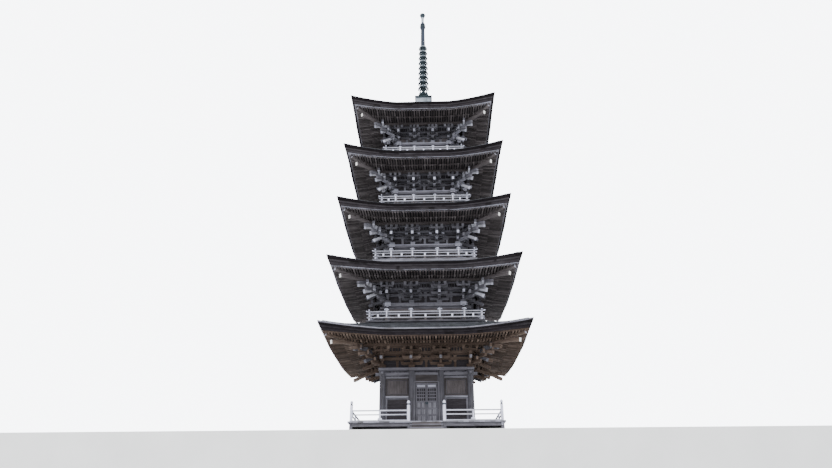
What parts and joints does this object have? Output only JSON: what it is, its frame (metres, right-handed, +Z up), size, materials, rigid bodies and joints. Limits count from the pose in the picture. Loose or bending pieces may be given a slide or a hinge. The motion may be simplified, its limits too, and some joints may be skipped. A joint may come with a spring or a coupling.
{
  "type": "pagoda",
  "caption": "Tall square timber temple tower with stacked shingled roofs on bracketed eaves, railed balconies, hinged entrance doors and a ringed bronze spire.",
  "frame": {"origin": "centre of the stone base at ground level, under the spire", "axes": "+Z up the tower, -Y out of the entrance, +X to the right of someone who faces the entrance"},
  "size_m": [8.22, 8.22, 24.11],
  "materials": {
    "stone": "rough dressed stone",
    "pale_timber": "bleached weathered softwood",
    "grey_timber": "weathered grey softwood",
    "brown_timber": "dark weathered softwood",
    "roof_shingle": "weathered split shingles",
    "bronze": "verdigris bronze casting"
  },
  "bodies": {
    "tower": {"stone_base": "stone", "veranda_frame": "grey_timber", "veranda_floor": "pale_timber", "entrance_steps": "grey_timber", "veranda_railing": "pale_timber", "storey_1_frame": "grey_timber", "right_wall": "brown_timber", "left_wall": "brown_timber", "back_wall": "brown_timber", "front_wall_left": "brown_timber", "front_wall_right": "brown_timber", "front_wall_head": "brown_timber", "room_floor": "grey_timber", "room_ceiling": "brown_timber", "storey_1_brackets": "pale_timber", "storey_1_purlins": "pale_timber", "storey_1_eaves": "brown_timber", "storey_1_roof": "roof_shingle", "storey_2_body": "grey_timber", "storey_2_balcony": "pale_timber", "storey_2_railing": "pale_timber", "storey_2_brackets": "pale_timber", "storey_2_purlins": "pale_timber", "storey_2_eaves": "brown_timber", "storey_2_roof": "roof_shingle", "storey_3_body": "grey_timber", "storey_3_balcony": "pale_timber", "storey_3_railing": "pale_timber", "storey_3_brackets": "pale_timber", "storey_3_purlins": "pale_timber", "storey_3_eaves": "brown_timber", "storey_3_roof": "roof_shingle", "storey_4_body": "grey_timber", "storey_4_balcony": "pale_timber", "storey_4_railing": "pale_timber", "storey_4_brackets": "pale_timber", "storey_4_purlins": "pale_timber", "storey_4_eaves": "brown_timber", "storey_4_roof": "roof_shingle", "storey_5_body": "grey_timber", "storey_5_balcony": "pale_timber", "storey_5_railing": "pale_timber", "storey_5_brackets": "pale_timber", "storey_5_purlins": "pale_timber", "storey_5_eaves": "brown_timber", "storey_5_roof": "roof_shingle", "dew_basin": "bronze", "lotus_bowl": "bronze", "ringed_mast": "bronze", "jewel": "bronze"},
    "left_door_leaf": {"left_door": "brown_timber"},
    "right_door_leaf": {"right_door": "brown_timber"}
  },
  "joints": [
    {"name": "left_door_hinge", "type": "hinge", "parent": "tower", "child": "left_door_leaf", "pos_m": [-0.412, -1.834, 0.695], "axis": [0, 0, 1], "range_deg": [-100, 0]},
    {"name": "right_door_hinge", "type": "hinge", "parent": "tower", "child": "right_door_leaf", "pos_m": [0.412, -1.834, 0.695], "axis": [0, 0, 1], "range_deg": [0, 100]}
  ]
}
